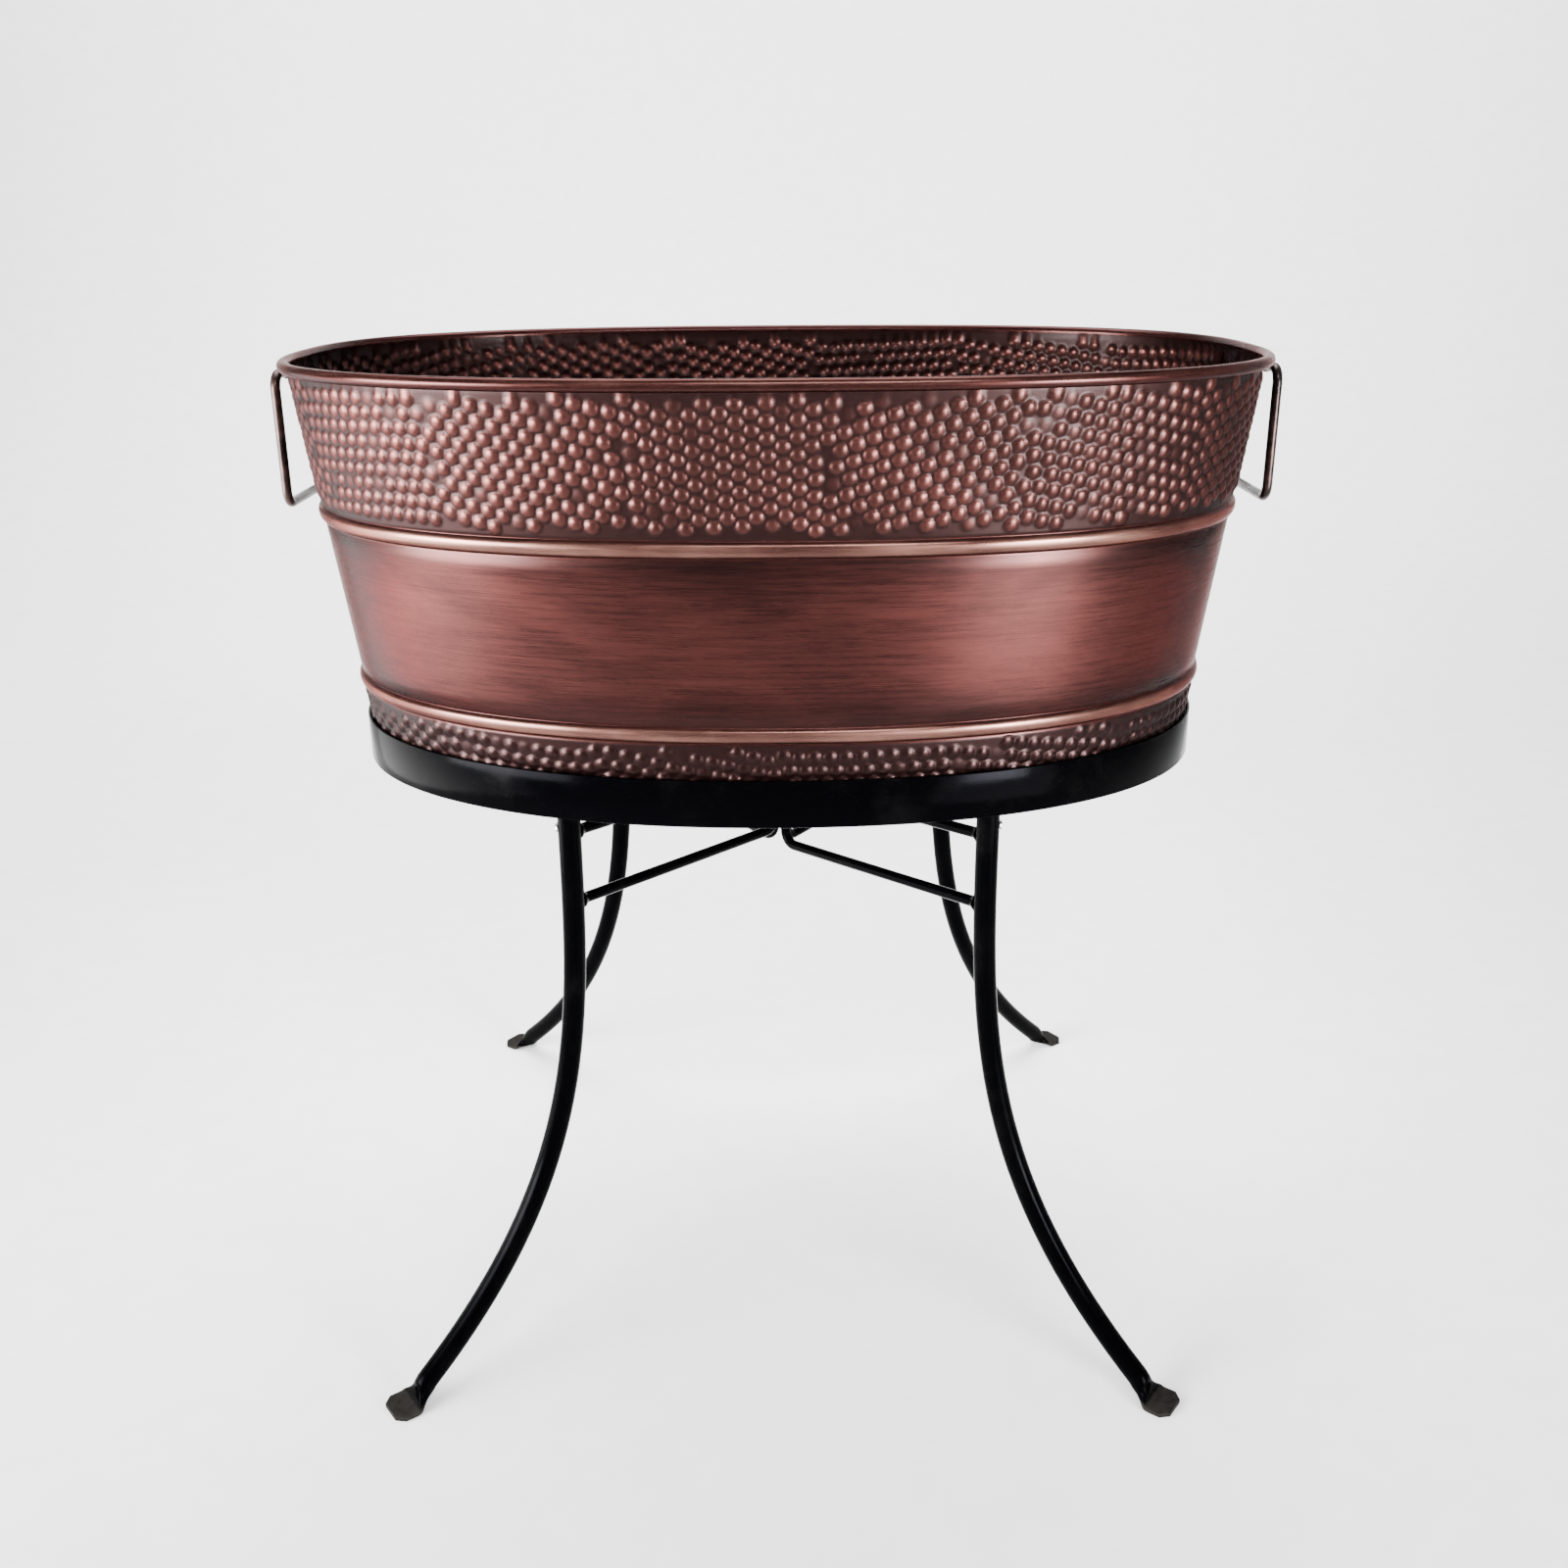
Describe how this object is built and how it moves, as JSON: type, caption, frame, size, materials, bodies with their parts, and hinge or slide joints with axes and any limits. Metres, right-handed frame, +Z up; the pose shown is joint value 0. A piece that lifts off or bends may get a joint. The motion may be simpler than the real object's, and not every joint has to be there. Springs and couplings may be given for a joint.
{
  "type": "champagne bucket stand",
  "caption": "Oval copper-finish metal tub with drop handles, nested in a black strap ring on splayed tube legs braced to a centre hub.",
  "frame": {"origin": "on the floor, under the centre of the tub and the four feet", "axes": "+X along the tub's length towards the right handle, +Y to the back, +Z up"},
  "size_m": [0.6294, 0.4926, 0.6314],
  "materials": {
    "tub_copper": "steel sheet with a brushed and hammered antique copper finish",
    "handle_bronze": "steel with a dark bronze finish",
    "stand_black": "semi-gloss black powder coat",
    "plain_steel": "bright zinc-plated steel"
  },
  "bodies": {
    "stand": {"ring_band": "stand_black", "cross_bar_left": "stand_black", "cross_bar_right": "stand_black", "hub_collar": "stand_black", "spigot_front_left": "stand_black", "spigot_front_right": "stand_black", "spigot_back_left": "stand_black", "spigot_back_right": "stand_black", "leg_front_left": "stand_black", "leg_front_right": "stand_black", "leg_back_left": "stand_black", "leg_back_right": "stand_black", "brace_front_left": "stand_black", "brace_front_right": "stand_black", "brace_back_left": "stand_black", "brace_back_right": "stand_black", "leg_screw_front_left": "plain_steel", "leg_screw_front_right": "plain_steel", "leg_screw_back_left": "plain_steel", "leg_screw_back_right": "plain_steel"},
    "tub": {"tub_wall": "tub_copper", "tub_floor": "tub_copper", "rim_wire": "plain_steel", "handle_ear_left": "handle_bronze", "handle_ear_right": "handle_bronze", "ear_rivet_left_front": "handle_bronze", "ear_rivet_left_back": "handle_bronze", "ear_rivet_right_front": "handle_bronze", "ear_rivet_right_back": "handle_bronze"},
    "left_handle": {"handle_left": "handle_bronze"},
    "right_handle": {"handle_right": "handle_bronze"}
  },
  "joints": [
    {"name": "tub_lift", "type": "slide", "parent": "stand", "child": "tub", "axis": [0, 0, 1], "range_m": [0, 0.12]},
    {"name": "left_handle_swing", "type": "hinge", "parent": "tub", "child": "left_handle", "pos_m": [-0.31, 0, 0.6193], "axis": [0, 1, 0], "range_deg": [-10, 170]},
    {"name": "right_handle_swing", "type": "hinge", "parent": "tub", "child": "right_handle", "pos_m": [0.31, 0, 0.6193], "axis": [0, -1, 0], "range_deg": [-10, 170]}
  ]
}
